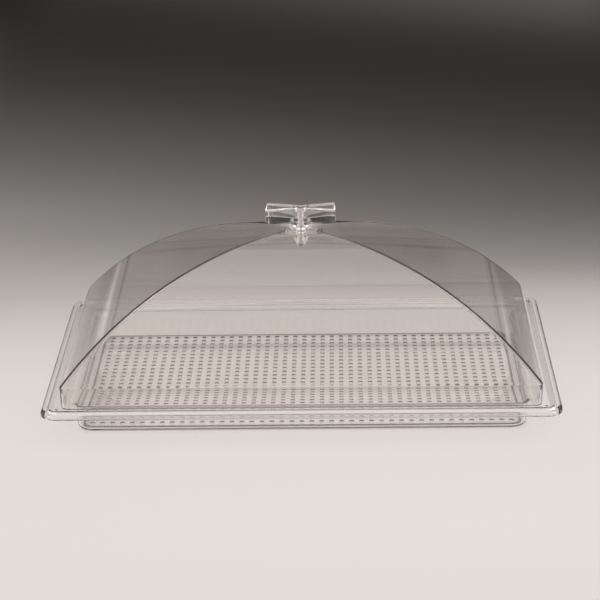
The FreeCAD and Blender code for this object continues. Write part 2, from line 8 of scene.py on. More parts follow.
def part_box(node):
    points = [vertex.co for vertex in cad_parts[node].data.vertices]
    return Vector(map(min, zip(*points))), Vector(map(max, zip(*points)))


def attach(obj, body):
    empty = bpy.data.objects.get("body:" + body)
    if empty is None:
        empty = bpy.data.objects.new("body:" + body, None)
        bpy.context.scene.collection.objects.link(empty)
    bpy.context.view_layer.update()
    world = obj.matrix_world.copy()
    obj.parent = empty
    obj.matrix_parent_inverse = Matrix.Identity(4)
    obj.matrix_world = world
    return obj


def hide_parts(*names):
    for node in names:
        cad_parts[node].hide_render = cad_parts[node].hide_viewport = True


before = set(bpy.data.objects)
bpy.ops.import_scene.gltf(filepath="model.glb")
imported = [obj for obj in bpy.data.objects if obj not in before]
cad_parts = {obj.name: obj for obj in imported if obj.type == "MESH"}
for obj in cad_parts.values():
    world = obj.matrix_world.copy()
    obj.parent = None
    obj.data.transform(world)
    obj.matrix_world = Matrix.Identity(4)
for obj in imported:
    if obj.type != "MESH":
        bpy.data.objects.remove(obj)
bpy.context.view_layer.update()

# Tray: the long shallow pan that everything stands on, one moulding in clear polycarbonate.
# Its border thickens outside into a full rounded rim, and the flat ledge inside the border carries
# the cover. The well hangs from the ledge with a little draft, and each ledge corner has a hole.
MM = 0.001


def box_mm(node):
    """A node's lowest and highest corners at rest, in millimetres."""
    low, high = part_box(node)
    return np.array(low) / MM, np.array(high) / MM


def round_corners(line, rounding, arc_steps=7, closed=False, shares=()):
    """Rows of a line with its corners rounded: each arc is the blend of its two tangent points and the
    corner, weighted by the sine of half the corner's angle. At each end one row is held on the run,
    three tenths of the radius or half a millimetre off, whichever is less. The shares place further
    rows along the straight runs, counted from one arc's end to the next."""
    line = np.asarray(line, float)
    rounding = np.asarray(rounding, float)[:, None]
    back = np.roll(line, 1, axis=0) - line
    ahead = np.roll(line, -1, axis=0) - line
    back = back / np.linalg.norm(back[:, :2], axis=1, keepdims=True)
    ahead = ahead / np.linalg.norm(ahead[:, :2], axis=1, keepdims=True)
    cosine = (back[:, :2] * ahead[:, :2]).sum(axis=1, keepdims=True)
    half_angle = 0.5 * np.arccos(np.clip(cosine, -1.0, 1.0))
    setback = rounding / np.tan(half_angle)
    start = line + back * setback
    stop = line + ahead * setback
    along = np.linspace(0.0, 1.0, arc_steps)[None, :, None]
    pull = 2.0 * np.sin(half_angle)[:, None, :] * along * (1.0 - along)
    arc = (1.0 - along) ** 2 * start[:, None] + pull * line[:, None] + along**2 * stop[:, None]
    arc = arc / ((1.0 - along) ** 2 + pull + along**2)
    hold = np.minimum(0.3 * rounding, 0.5)
    rows = np.concatenate([(start + back * hold)[:, None], arc, (stop + ahead * hold)[:, None]], axis=1)
    share = np.asarray(shares, float)[None, :, None]
    run = np.roll(rows, -1, axis=0)[:, :1] - rows[:, -1:]
    rows = np.concatenate([rows, rows[:, -1:] + run * share], axis=1)
    if closed:
        return rows.reshape(-1, line.shape[1])
    inner = rows[1:-1].reshape(-1, line.shape[1])
    return np.concatenate([line[:1], inner, line[-1:]])


def rounded_rings(half_x, half_y, radius, height, shares, arc_steps=9):
    """Rounded rectangles, one per row: each corner is a quarter circle about a centre one radius in
    from both sides, and each straight side is the mix of its two ends by the given shares."""
    quarter = np.arange(4)[None, :, None]
    turn = np.linspace(0.0, 0.5 * np.pi, arc_steps)[None, None, :] + 0.5 * np.pi * quarter
    side_x = np.array([1, -1, -1, 1])[None, :, None]
    side_y = np.array([1, 1, -1, -1])[None, :, None]
    sizes = (half_x, half_y, radius, height)
    half_x, half_y, radius, height = [np.asarray(size, float)[:, None, None] for size in sizes]
    x = side_x * (half_x - radius) + radius * np.cos(turn)
    y = side_y * (half_y - radius) + radius * np.sin(turn)
    corner = np.stack(np.broadcast_arrays(x, y, height), axis=-1)
    start = corner[:, :, -1:]
    stop = np.roll(corner, -1, axis=1)[:, :, :1]
    side = start + (stop - start) * np.asarray(shares, float)[None, None, :, None]
    return np.concatenate([corner, side], axis=2).reshape(len(height), -1, 3)


def skin(name, rings, join_ends=False):
    """A surface over rings of equal count: each point joins its neighbour on the ring and the two above
    them in a four-sided face; the end rings join each other, or each is closed by one flat face."""
    rows, count = rings.shape[:2]
    index = np.arange(rows * count).reshape(rows, count)
    low = index if join_ends else index[:-1]
    high = np.roll(index, -1, axis=0) if join_ends else index[1:]
    quads = np.stack([low, np.roll(low, -1, axis=1), np.roll(high, -1, axis=1), high], axis=-1)
    faces = quads.reshape(-1, 4).tolist()
    if not join_ends:
        faces += [index[0, ::-1].tolist(), index[-1].tolist()]
    mesh = bpy.data.meshes.new(name)
    mesh.from_pydata((rings.reshape(-1, 3) * MM).tolist(), [], faces)
    mesh.shade_smooth()
    piece = bpy.data.objects.new(name, mesh)
    bpy.context.scene.collection.objects.link(piece)
    return piece


def map_range(nodes, source, target, blend="LINEAR"):
    """A node that carries a value from one range to another: its share of the way along the first,
    held between nought and one, is taken along the second."""
    node = nodes.new("ShaderNodeMapRange")
    node.interpolation_type = blend
    node.inputs["From Min"].default_value = source[0]
    node.inputs["From Max"].default_value = source[1]
    node.inputs["To Min"].default_value = target[0]
    node.inputs["To Max"].default_value = target[1]
    return node


def tone_ramp(nodes, tint, stops, blend="LINEAR"):
    """A run of tones of one tint: each stop is a place and a factor that the tint is multiplied by."""
    ramp = nodes.new("ShaderNodeValToRGB")
    ramp.color_ramp.interpolation = blend
    for _ in stops[2:]:
        ramp.color_ramp.elements.new(0.5)
    for element, (position, tone) in zip(ramp.color_ramp.elements, stops):
        element.position = position
        element.color = (*[tone * part for part in tint], 1.0)
    return ramp


def clear_plastic(name, tint, deep_tint, ior, haze, ripple, depth):
    """Clear moulded plastic: it refracts with a haze that follows fine noise, a slow ripple left by the
    mould bends its surface, and long ways through it darken to the deep tint. Light that only casts a
    shadow or fills goes straight through."""
    material = bpy.data.materials.new(name)
    material.use_nodes = True
    nodes, links = material.node_tree.nodes, material.node_tree.links
    nodes.clear()
    place = nodes.new("ShaderNodeTexCoord")
    flow = nodes.new("ShaderNodeTexNoise")
    flow.inputs["Scale"].default_value = 14.0
    flow.inputs["Detail"].default_value = 2.0
    links.new(place.outputs["Object"], flow.inputs["Vector"])
    shade = tone_ramp(nodes, tint, [(0.3, 0.993), (0.7, 1.0)])
    links.new(flow.outputs["Fac"], shade.inputs["Fac"])
    grain = nodes.new("ShaderNodeTexNoise")
    grain.inputs["Scale"].default_value = 260.0
    grain.inputs["Detail"].default_value = 4.0
    links.new(place.outputs["Object"], grain.inputs["Vector"])
    rough = map_range(nodes, (0.35, 0.75), (0.3 * haze, haze))
    links.new(grain.outputs["Fac"], rough.inputs["Value"])
    bump = nodes.new("ShaderNodeBump")
    bump.inputs["Strength"].default_value = ripple
    bump.inputs["Distance"].default_value = 0.002
    links.new(flow.outputs["Fac"], bump.inputs["Height"])
    body = nodes.new("ShaderNodeBsdfPrincipled")
    body.inputs["Transmission Weight"].default_value = 1.0
    body.inputs["IOR"].default_value = ior
    links.new(shade.outputs["Color"], body.inputs["Base Color"])
    links.new(rough.outputs["Result"], body.inputs["Roughness"])
    links.new(bump.outputs["Normal"], body.inputs["Normal"])
    through = nodes.new("ShaderNodeBsdfTransparent")
    through.inputs["Color"].default_value = (0.99, 0.988, 0.986, 1.0)
    ray = nodes.new("ShaderNodeLightPath")
    unseen = nodes.new("ShaderNodeMath")
    unseen.operation = "MAXIMUM"
    links.new(ray.outputs["Is Shadow Ray"], unseen.inputs[0])
    links.new(ray.outputs["Is Diffuse Ray"], unseen.inputs[1])
    mix = nodes.new("ShaderNodeMixShader")
    links.new(unseen.outputs["Value"], mix.inputs["Fac"])
    links.new(body.outputs["BSDF"], mix.inputs[1])
    links.new(through.outputs["BSDF"], mix.inputs[2])
    inside = nodes.new("ShaderNodeVolumeAbsorption")
    inside.inputs["Color"].default_value = (*deep_tint, 1.0)
    inside.inputs["Density"].default_value = depth
    out = nodes.new("ShaderNodeOutputMaterial")
    links.new(mix.outputs["Shader"], out.inputs["Surface"])
    links.new(inside.outputs["Volume"], out.inputs["Volume"])
    return material


tray_high = box_mm("tray")[1]
TRAY_X = tray_high[0]
TRAY_Y = tray_high[1]
TRAY_TOP = tray_high[2]
TRAY_WALL = 2.5
BORDER = 11.0
LEDGE_DROP = 3.0
LEDGE = 24.0
RIM_DROP = 1.5
RIM_BAR = 6.5
RIM_RADIUS = 17.0
WELL_RADIUS = 14.0
DRAFT = math.tan(math.radians(2.0))
SIDE_SHARES = (0.004, 0.5, 0.996)
SHEET_IN = 40.0
SHEET_RADIUS = 3.0
CORNER_HOLE = 1.6
CORNER_HOLE_X = 5.0
CORNER_HOLE_Y = 7.5
CORNER_HOLE_SIDES = 24
DRILL_PAST = 1.0
PLASTIC_SHARP = math.radians(40.0)
TRAY_DEPTH = 5.0
PLASTIC_TINT = (0.999, 0.994, 0.990)
PLASTIC_DEEP = (0.45, 0.30, 0.22)
PLASTIC_IOR = 1.5
PLASTIC_HAZE = 0.03
PLASTIC_RIPPLE = 0.01

ledge_z = TRAY_TOP - LEDGE_DROP
under_z = ledge_z - TRAY_WALL
rim_z = under_z - RIM_DROP
groove_z = under_z + LEDGE_DROP
well_in = BORDER + LEDGE
out_in = well_in - TRAY_WALL
floor_in = well_in + (ledge_z - TRAY_WALL) * DRAFT
foot_in = out_in + ledge_z * DRAFT
neck_in = out_in + TRAY_WALL * DRAFT
# Each row is inset, height, corner radius in plan, and rounding of the edge. The first and last lie
# inside the flat underside and the flat floor, and one face closes each.
tray_profile = np.array([
    (foot_in + SHEET_IN, 0.0, SHEET_RADIUS, 0.1),
    (foot_in, 0.0, WELL_RADIUS + TRAY_WALL - ledge_z * DRAFT, 5.0),
    (neck_in, under_z, WELL_RADIUS + TRAY_WALL - TRAY_WALL * DRAFT, 5.5),
    (BORDER + 1.2, under_z, RIM_RADIUS - BORDER - 1.2, 4.0),
    (BORDER - 2.8, groove_z, RIM_RADIUS - BORDER + 2.8, 1.0),
    (RIM_BAR, groove_z, RIM_RADIUS - RIM_BAR, 0.5),
    (RIM_BAR, rim_z, RIM_RADIUS - RIM_BAR, 0.5),
    (0.0, rim_z, RIM_RADIUS, 0.5),
    (0.0, TRAY_TOP, RIM_RADIUS, 4.4),
    (BORDER - 2.0, TRAY_TOP, RIM_RADIUS - BORDER + 2.0, 3.5),
    (BORDER + 2.0, ledge_z, RIM_RADIUS - BORDER - 2.0, 1.5),
    (well_in, ledge_z, WELL_RADIUS, 8.0),
    (floor_in, TRAY_WALL, WELL_RADIUS - (ledge_z - TRAY_WALL) * DRAFT, 2.5),
    (floor_in + SHEET_IN, TRAY_WALL, SHEET_RADIUS, 0.1),
])
inset, height, plan_radius = round_corners(tray_profile[:, :3], tray_profile[:, 3]).T
tray_rings = rounded_rings(TRAY_X - inset, TRAY_Y - inset, plan_radius, height, SIDE_SHARES)
tray = skin("tray_shell", tray_rings)

around = np.linspace(0.0, 2.0 * np.pi, CORNER_HOLE_SIDES, endpoint=False)
drill_z = (under_z - DRILL_PAST, ledge_z + DRILL_PAST)
corner_x = np.array([1, -1, -1, 1]) * (TRAY_X - BORDER - CORNER_HOLE_X)
corner_y = np.array([1, 1, -1, -1]) * (TRAY_Y - BORDER - CORNER_HOLE_Y)
for x, y in zip(corner_x, corner_y):
    pin = np.stack([x + CORNER_HOLE * np.cos(around), y + CORNER_HOLE * np.sin(around)], axis=-1)
    pin = np.stack([np.column_stack([pin, np.full(CORNER_HOLE_SIDES, z)]) for z in drill_z])
    drill = skin("drill", pin)
    cut = tray.modifiers.new("corner_hole", "BOOLEAN")
    cut.object = drill
    cut.operation = "DIFFERENCE"
    worked = tray.evaluated_get(bpy.context.evaluated_depsgraph_get())
    drilled = bpy.data.meshes.new_from_object(worked)
    tray.modifiers.clear()
    tray.data = drilled
    bpy.data.objects.remove(drill)
tray.data.shade_smooth()
tray.data.set_sharp_from_angle(angle=PLASTIC_SHARP)
tray.data.materials.append(clear_plastic("clear_tray_plastic", PLASTIC_TINT, PLASTIC_DEEP, PLASTIC_IOR,
                                         PLASTIC_HAZE, PLASTIC_RIPPLE, TRAY_DEPTH))
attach(tray, "tray")
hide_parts("tray")

# Drip grid: a loose flat plate of the same clear plastic on the floor of the well, moulded with rows
# of round drain holes that narrow downwards, so that what lies on it stays dry. It lifts straight out.
grid_low, grid_high = box_mm("drip_grid")
GRID_X = grid_high[0]
GRID_Y = grid_high[1]
GRID_TOP = grid_high[2]
GRID_LIFT = 0.3
GRID_FOOT = grid_low[2] + GRID_LIFT
GRID_RADIUS = 10.2
GRID_EDGE = 0.35
GRID_PLATE = 1.3
GRID_UNDER = GRID_TOP - GRID_PLATE
RIB_IN = 2.2
RIB_FOOT_IN = 1.8
HOLE_RADIUS = 2.6
HOLE_FOOT = 2.15
HOLE_PITCH_X = 10.3
HOLE_PITCH_Y = 10.0
HOLE_COLUMNS = 43
HOLE_ROWS = 24
HOLE_SIDES = 12
CELL_POINTS = 4 * HOLE_SIDES
WELD = 0.01
# Painted shade: the hole walls and the plate's outer edge are tinted darker for the shade inside the holes
# and along the edge.
HOLE_PAINTED_SHADE = (0.90, 0.87, 0.85)
EDGE_PAINTED_SHADE = (0.45, 0.41, 0.39)
GRID_DEPTH = 15.0
DULL_HAZE = 0.12
DULL_RIPPLE = 0.05
DULL_DEPTH = 10.0

turn = np.radians(360.0 / HOLE_SIDES * (np.arange(HOLE_SIDES) + 0.5))
circle = np.stack([np.cos(turn), np.sin(turn)], axis=-1)
cell = 0.5 * np.array([HOLE_PITCH_X, HOLE_PITCH_Y]) * np.clip(math.sqrt(2.0) * circle, -1.0, 1.0)
column_x = HOLE_PITCH_X * (np.arange(HOLE_COLUMNS) - 0.5 * (HOLE_COLUMNS - 1))
row_y = HOLE_PITCH_Y * (np.arange(HOLE_ROWS) - 0.5 * (HOLE_ROWS - 1))
centre = np.stack(np.meshgrid(column_x, row_y), axis=-1).reshape(-1, 1, 1, 2)
# One cell is four rings of twelve: its square on top, the hole on top, the hole below, the square below.
plan = np.stack([cell, HOLE_RADIUS * circle, HOLE_FOOT * circle, cell])[None] + centre
level = np.array([GRID_TOP, GRID_TOP, GRID_UNDER, GRID_UNDER])[None, :, None, None]
cells = np.concatenate([plan, np.broadcast_to(level, plan.shape[:3] + (1,))], axis=-1)
step = np.arange(CELL_POINTS).reshape(4, HOLE_SIDES)
after = np.roll(step, -1, axis=1)
patch = np.stack([step[:-1], after[:-1], after[1:], step[1:]], axis=-1)
cell_faces = (CELL_POINTS * np.arange(len(cells))[:, None, None] + patch.reshape(1, -1, 4)).reshape(-1, 4)
# The plate's border runs from the outer sides of the cells to the rounded outline, on both faces, and
# a low rib under the outline stands on the floor of the well.
field_x = 0.5 * HOLE_PITCH_X * HOLE_COLUMNS
field_y = 0.5 * HOLE_PITCH_Y * HOLE_ROWS
third = 0.5 - 0.5 * math.sqrt(2.0) * math.sin(math.radians(180.0 / HOLE_SIDES))
split = np.array([0.0, third, 1.0 - third])
along_x = HOLE_PITCH_X * (np.arange(HOLE_COLUMNS)[:, None] + split).ravel() - field_x
along_y = HOLE_PITCH_Y * (np.arange(HOLE_ROWS)[:, None] + split).ravel() - field_y
edge = np.concatenate([
    np.column_stack([along_x, np.full(len(along_x), -field_y)]),
    np.column_stack([np.full(len(along_y), field_x), along_y]),
    np.column_stack([-along_x, np.full(len(along_x), field_y)]),
    np.column_stack([np.full(len(along_y), -field_x), -along_y]),
])
wide = edge * np.array([GRID_X / field_x, GRID_Y / field_y])
core = np.array([GRID_X - GRID_RADIUS, GRID_Y - GRID_RADIUS])
hub = np.clip(wide, -core, core)
arm = wide - hub
arm = arm / np.maximum(np.linalg.norm(arm, axis=1, keepdims=True), 1e-6)
outline_in = (RIB_IN, RIB_FOOT_IN, GRID_EDGE, 0.0, 0.0, GRID_EDGE)
outline = [hub + arm * (GRID_RADIUS - inward) for inward in outline_in]
border_plan = np.stack([edge, *outline, edge])
border_z = np.array([GRID_UNDER, GRID_UNDER, GRID_FOOT, GRID_FOOT, GRID_FOOT + GRID_EDGE,
                     GRID_TOP - GRID_EDGE, GRID_TOP, GRID_TOP])
border_level = np.broadcast_to(border_z[:, None, None], border_plan.shape[:2] + (1,))
border = np.concatenate([border_plan, border_level], axis=-1)
index = np.arange(border.shape[0] * border.shape[1]).reshape(border.shape[:2]) + CELL_POINTS * len(cells)
after = np.roll(index, -1, axis=1)
border_faces = np.stack([index[:-1], after[:-1], after[1:], index[1:]], axis=-1)
points = np.concatenate([cells.reshape(-1, 3), border.reshape(-1, 3)])
# Points that two cells share become one, so that the plate is a single closed surface.
rounded = np.round(points / WELD).astype(int)
_, first, shared = np.unique(rounded, axis=0, return_index=True, return_inverse=True)
grid_faces = shared.reshape(-1)[np.concatenate([cell_faces, border_faces.reshape(-1, 4)])]
grid_mesh = bpy.data.meshes.new("drip_grid_plate")
grid_mesh.from_pydata((points[first] * MM).tolist(), [], grid_faces.tolist())
grid_mesh.shade_smooth()
# The wall of each hole, save a strip at left and right, and the plate's outer edge are duller than
# its two polished faces. They also carry painted shade: their tints are darker, standing in for the
# shade that falls inside the holes and along the edge.
crossways = np.array([1, 1, 1, 1, 1, 0, 1, 1, 1, 1, 1, 0])
cell_finish_and_shade = np.concatenate([0 * crossways, crossways, 0 * crossways])
border_finish_and_shade = np.array([0, 2, 2, 2, 2, 2, 0])
finish_and_shade = np.concatenate([np.tile(cell_finish_and_shade, len(cells)), np.repeat(border_finish_and_shade, len(edge))])
grid_mesh.polygons.foreach_set("material_index", finish_and_shade.astype(np.int32))
grid_mesh.set_sharp_from_angle(angle=PLASTIC_SHARP)
grid = bpy.data.objects.new("drip_grid_plate", grid_mesh)
bpy.context.scene.collection.objects.link(grid)
grid_mesh.materials.append(clear_plastic("clear_grid_plastic", PLASTIC_TINT, PLASTIC_DEEP, PLASTIC_IOR,
                                         PLASTIC_HAZE, PLASTIC_RIPPLE, GRID_DEPTH))
# The second and third materials hold the painted shade of the hole walls and of the outer edge.
grid_mesh.materials.append(clear_plastic("clear_hole_plastic_painted_shade", HOLE_PAINTED_SHADE, PLASTIC_DEEP, PLASTIC_IOR,
                                         DULL_HAZE, DULL_RIPPLE, DULL_DEPTH))
grid_mesh.materials.append(clear_plastic("clear_edge_plastic_painted_shade", EDGE_PAINTED_SHADE, PLASTIC_DEEP, PLASTIC_IOR,
                                         DULL_HAZE, DULL_RIPPLE, DULL_DEPTH))
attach(grid, "grid")
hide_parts("drip_grid")

# Cover: one thin clear moulding that stands on the ledge. A low upright skirt carries four vaulted
# panels that meet in ridges and rise to a small flat seat, and a soft crease runs up the middle of
# the front and back panels. A hole through the seat takes the knob's screw.
cover_low, cover_high = box_mm("dome_cover")
COVER_X = cover_high[0]
COVER_Y = cover_high[1]
FOOT_CLEAR = 0.08
COVER_FOOT = cover_low[2] + FOOT_CLEAR
COVER_APEX = cover_high[2]
COVER_WALL = 2.4
SKIRT = 24.0
INNER_X = 241.86
INNER_Y = 142.32
RIDGE_RADIUS = 4.5
RIDGE_INSIDE = 2.1
RIDGE_TOP = 0.25
FOOT_FLARE = 5.0
CREASE = 7.0
VAULT_ROWS = 60
SEAT_RADIUS = 13.5
SEAT_DROP = 5.0
SEAT_HOLE = 3.3
COVER_TINT = (0.995, 0.966, 0.954)
COVER_DEPTH = 2.5


def cap_height(half_x, half_y, foot, apex, share):
    """Height of the round cap through the apex and the four foot corners, at a share of the way out:
    the cap's centre plus the root of its radius squared less the way out squared."""
    reach = half_x**2 + half_y**2
    bow = (reach + (apex - foot) ** 2) / (2.0 * (apex - foot))
    return apex - bow + np.sqrt(bow**2 - share**2 * reach)


def vault(half_x, half_y, radius, foot, apex, share):
    """Rings of a vault: at each share of the way out from the apex, a rectangle of that share of the
    foot, at the height of the round cap. The front and back sides lean out towards their middle by
    the crease, four times share times one minus share."""
    height = cap_height(half_x, half_y, foot, apex, share)
    rings = rounded_rings(share * half_x, share * half_y, radius, height, COVER_SHARES)
    fold = (4.0 * CREASE * share * (1.0 - share))[:, None]
    lean = 1.0 - np.abs(rings[:, :, 0]) / (share * half_x)[:, None]
    rings[:, :, 1] += rings[:, :, 1] / (share * half_y)[:, None] * fold * lean
    return rings


def round_rows(direction, profile):
    """Circles at the given directions: each profile row is a radius and a height."""
    profile = np.asarray(profile, float)
    flat = profile[:, :1, None] * np.stack([np.cos(direction), np.sin(direction)], axis=-1)[None]
    level = np.broadcast_to(profile[:, 1:, None], flat.shape[:2] + (1,))
    return np.concatenate([flat, level], axis=-1)


COVER_SHARES = (0.004, 0.08, 0.16, 0.24, 0.32, 0.4, 0.47, 0.496, 0.4985, 0.5,
                0.5015, 0.504, 0.53, 0.6, 0.68, 0.76, 0.84, 0.92, 0.996)
skirt_top = COVER_FOOT - FOOT_CLEAR + SKIRT
share = np.concatenate([[1.0, 0.996], np.linspace(0.985, 0.1, VAULT_ROWS)])
skirt_in = np.array([0.6, 0.18, 0.0, 0.0, 0.0])
skirt_z = np.array([COVER_FOOT, COVER_FOOT + 0.18, COVER_FOOT + 0.6, COVER_FOOT + 1.5, skirt_top - 1.2])
# The skirt's corners are rounder at the foot than where the ridges run into them, and the ridges
# sharpen towards the seat.
skirt_flare = np.array([1.0, 1.0, 1.0, 1.0, 0.0]) * FOOT_FLARE
ridge_share = RIDGE_TOP + (1.0 - RIDGE_TOP) * share
outer_skirt = rounded_rings(COVER_X - skirt_in, COVER_Y - skirt_in, RIDGE_RADIUS + skirt_flare - skirt_in,
                            skirt_z, COVER_SHARES)
outer_vault = vault(COVER_X, COVER_Y, RIDGE_RADIUS * ridge_share, skirt_top, COVER_APEX, share)
seat_under = COVER_APEX - SEAT_DROP
facing = np.arctan2(outer_vault[-1, :, 1], outer_vault[-1, :, 0])
seat = round_rows(facing, [
    (SEAT_RADIUS + 0.5, COVER_APEX - 0.3), (SEAT_RADIUS + 0.1, COVER_APEX - 0.3),
    (SEAT_RADIUS, COVER_APEX - 0.2), (SEAT_RADIUS - 0.1, COVER_APEX - 0.1),
    (SEAT_RADIUS - 0.4, COVER_APEX), (SEAT_RADIUS - 1.0, COVER_APEX),
    (SEAT_HOLE + 0.4, COVER_APEX), (SEAT_HOLE, COVER_APEX - 0.3),
    (SEAT_HOLE, seat_under + 0.3), (SEAT_HOLE + 0.4, seat_under),
    (SEAT_RADIUS - 1.0, seat_under), (SEAT_RADIUS - 0.3, seat_under),
    (SEAT_RADIUS, seat_under + 0.3), (SEAT_RADIUS + 0.3, seat_under + 0.8),
])
# The seat's foot follows the vault: a point's share is the larger of those that its side panel and
# its front panel give it.
seat_x, seat_y = np.abs(seat[:2, :, 0]), np.abs(seat[:2, :, 1])
spread = 4.0 * CREASE
foot_share = np.maximum(seat_x / COVER_X, (seat_y + spread / COVER_X * seat_x) / (COVER_Y + spread))
seat[:2, :, 2] = cap_height(COVER_X, COVER_Y, skirt_top, COVER_APEX, foot_share)
inner_vault = vault(INNER_X, INNER_Y, RIDGE_INSIDE * ridge_share[::-1], skirt_top,
                    COVER_APEX - COVER_WALL, share[::-1])
inner_skirt = rounded_rings(COVER_X - COVER_WALL + skirt_in[::-1], COVER_Y - COVER_WALL + skirt_in[::-1],
                            RIDGE_INSIDE + (skirt_flare + skirt_in)[::-1], skirt_z[::-1], COVER_SHARES)
cover_rings = np.concatenate([outer_skirt, outer_vault, seat, inner_vault, inner_skirt])
cover = skin("cover_shell", cover_rings, join_ends=True)
cover.data.materials.append(clear_plastic("clear_cover_plastic", COVER_TINT, PLASTIC_DEEP, PLASTIC_IOR,
                                          PLASTIC_HAZE, PLASTIC_RIPPLE, COVER_DEPTH))
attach(cover, "cover")
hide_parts("dome_cover")

# Knob seal: a thin clear silicone ring pressed between the seat and the knob's neck.
# It keeps the screw hole tight and stops the knob from turning.
TURN_STEPS = 64
LET_IN = 0.05
WASHER_EDGE = 0.2
SEAL_TINT = (0.90, 0.895, 0.885)
SEAL_DEEP = (0.8, 0.78, 0.75)
SEAL_DEPTH = 60.0
SEAL_HAZE = 0.14
SEAL_RIPPLE = 0.05
SILICONE_IOR = 1.41
full_turn = np.linspace(0.0, 2.0 * np.pi, TURN_STEPS, endpoint=False)


def washer(name, node, bore):
    """A flat ring: its section is a rectangle with rounded edges, carried once round the axis. It is let
    in a twentieth of a millimetre on both faces so that it lies clear of its neighbours."""
    low, high = box_mm(node)
    under, over = low[2] + LET_IN, high[2] - LET_IN
    section = [(bore, under), (high[0], under), (high[0], over), (bore, over)]
    section = round_corners(section, [WASHER_EDGE] * 4, closed=True)
    return skin(name, round_rows(full_turn, section), join_ends=True)


seal = washer("knob_seal_ring", "knob_seal", SEAT_HOLE)
seal.data.materials.append(clear_plastic("clear_seal_silicone", SEAL_TINT, SEAL_DEEP, SILICONE_IOR,
                                         SEAL_HAZE, SEAL_RIPPLE, SEAL_DEPTH))
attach(seal, "cover")
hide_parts("knob_seal")

# Knob: a solid clear bow-tie grip on a round neck, moulded in one piece. Its two wings are flat on
# top and slope in to a waist, and a round pocket in the top takes the washer and the screw's head.
knob_low, knob_high = box_mm("knob")
KNOB_X = knob_high[0]
KNOB_Y = knob_high[1]
KNOB_FOOT = knob_low[2]
KNOB_TOP = knob_high[2]
BOW_HEIGHT = 14.4
BOW_CORNER = 2.5
BOW_SPREAD = 1.08
BOW_DRAFT = 0.014
WAIST_X = 8.5
WAIST_Y = 8.0
WAIST_CORNER = 1.2
NECK_RADIUS = 12.2
POCKET_RADIUS = 6.0
POCKET_DEPTH = 4.5
KNOB_BORE = 3.3
KNOB_TINT = (0.998, 0.994, 0.990)
KNOB_DEEP = (0.45, 0.32, 0.25)
KNOB_DEPTH = 2.5
KNOB_HAZE = 0.02
KNOB_SHARP = math.radians(50.0)

bow_foot = KNOB_TOP - BOW_HEIGHT
pocket_floor = KNOB_TOP - POCKET_DEPTH
bow_corners = [(KNOB_X, -KNOB_Y), (KNOB_X, KNOB_Y), (WAIST_X, WAIST_Y), (-WAIST_X, WAIST_Y),
               (-KNOB_X, KNOB_Y), (-KNOB_X, -KNOB_Y), (-WAIST_X, -WAIST_Y), (WAIST_X, -WAIST_Y)]
bow_rounding = [BOW_CORNER, BOW_CORNER, WAIST_CORNER, WAIST_CORNER] * 2
bow = round_corners(bow_corners, bow_rounding, closed=True, shares=np.linspace(0.0, 1.0, 10)[1:-1])
tangent = np.roll(bow, -1, axis=0) - np.roll(bow, 1, axis=0)
tangent = tangent / np.linalg.norm(tangent, axis=1, keepdims=True)
outward = np.column_stack([tangent[:, 1], -tangent[:, 0]])
facing = np.arctan2(bow[:, 1], bow[:, 0])


def bow_rows(profile):
    """Outlines of the bow: each profile row is a distance in from the side, along its normal, and a
    height. The front and back spread at the foot and draw in towards the top by the draft."""
    profile = np.asarray(profile, float)
    flat = bow[None] - outward[None] * profile[:, :1, None]
    flat[:, :, 1] *= BOW_SPREAD - BOW_DRAFT * (profile[:, 1:] - bow_foot)
    level = np.broadcast_to(profile[:, 1:, None], flat.shape[:2] + (1,))
    return np.concatenate([flat, level], axis=-1)


neck = round_rows(facing, [
    (KNOB_BORE + 0.3, KNOB_FOOT), (NECK_RADIUS - 1.0, KNOB_FOOT), (NECK_RADIUS - 0.4, KNOB_FOOT),
    (NECK_RADIUS - 0.12, KNOB_FOOT + 0.12), (NECK_RADIUS, KNOB_FOOT + 0.4), (NECK_RADIUS, KNOB_FOOT + 1.0),
    (NECK_RADIUS, bow_foot - 0.8), (NECK_RADIUS, bow_foot - 0.3), (NECK_RADIUS, bow_foot),
])
wings = bow_rows([
    (1.0, bow_foot), (0.4, bow_foot), (0.12, bow_foot + 0.12), (0.0, bow_foot + 0.4), (0.0, bow_foot + 1.0),
    (0.0, KNOB_TOP - 2.6), (0.0, KNOB_TOP - 2.0), (0.15, KNOB_TOP - 1.24), (0.59, KNOB_TOP - 0.59),
    (1.24, KNOB_TOP - 0.15), (2.0, KNOB_TOP), (2.4, KNOB_TOP),
])
pocket = round_rows(facing, [
    (POCKET_RADIUS + 0.4, KNOB_TOP), (POCKET_RADIUS + 0.25, KNOB_TOP),
    (POCKET_RADIUS + 0.06, KNOB_TOP - 0.1), (POCKET_RADIUS, KNOB_TOP - 0.3),
    (POCKET_RADIUS, KNOB_TOP - 0.6), (POCKET_RADIUS, pocket_floor + 0.6),
    (POCKET_RADIUS, pocket_floor + 0.3), (POCKET_RADIUS - 0.3, pocket_floor),
    (POCKET_RADIUS - 0.6, pocket_floor), (KNOB_BORE + 0.3, pocket_floor),
    (KNOB_BORE, pocket_floor - 0.3), (KNOB_BORE, KNOB_FOOT + 0.3),
])
knob = skin("knob_grip", np.concatenate([neck, wings, pocket]), join_ends=True)
knob.data.set_sharp_from_angle(angle=KNOB_SHARP)
knob.data.materials.append(clear_plastic("clear_knob_plastic", KNOB_TINT, KNOB_DEEP, PLASTIC_IOR,
                                         KNOB_HAZE, PLASTIC_RIPPLE, KNOB_DEPTH))
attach(knob, "cover")
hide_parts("knob")

# Screw washer: a small flat ring of bright steel on the pocket's floor, under the screw's head.
# It spreads the head's load on the plastic.
WASHER_STEEL = (0.76, 0.75, 0.73)
WASHER_DULL = 0.24


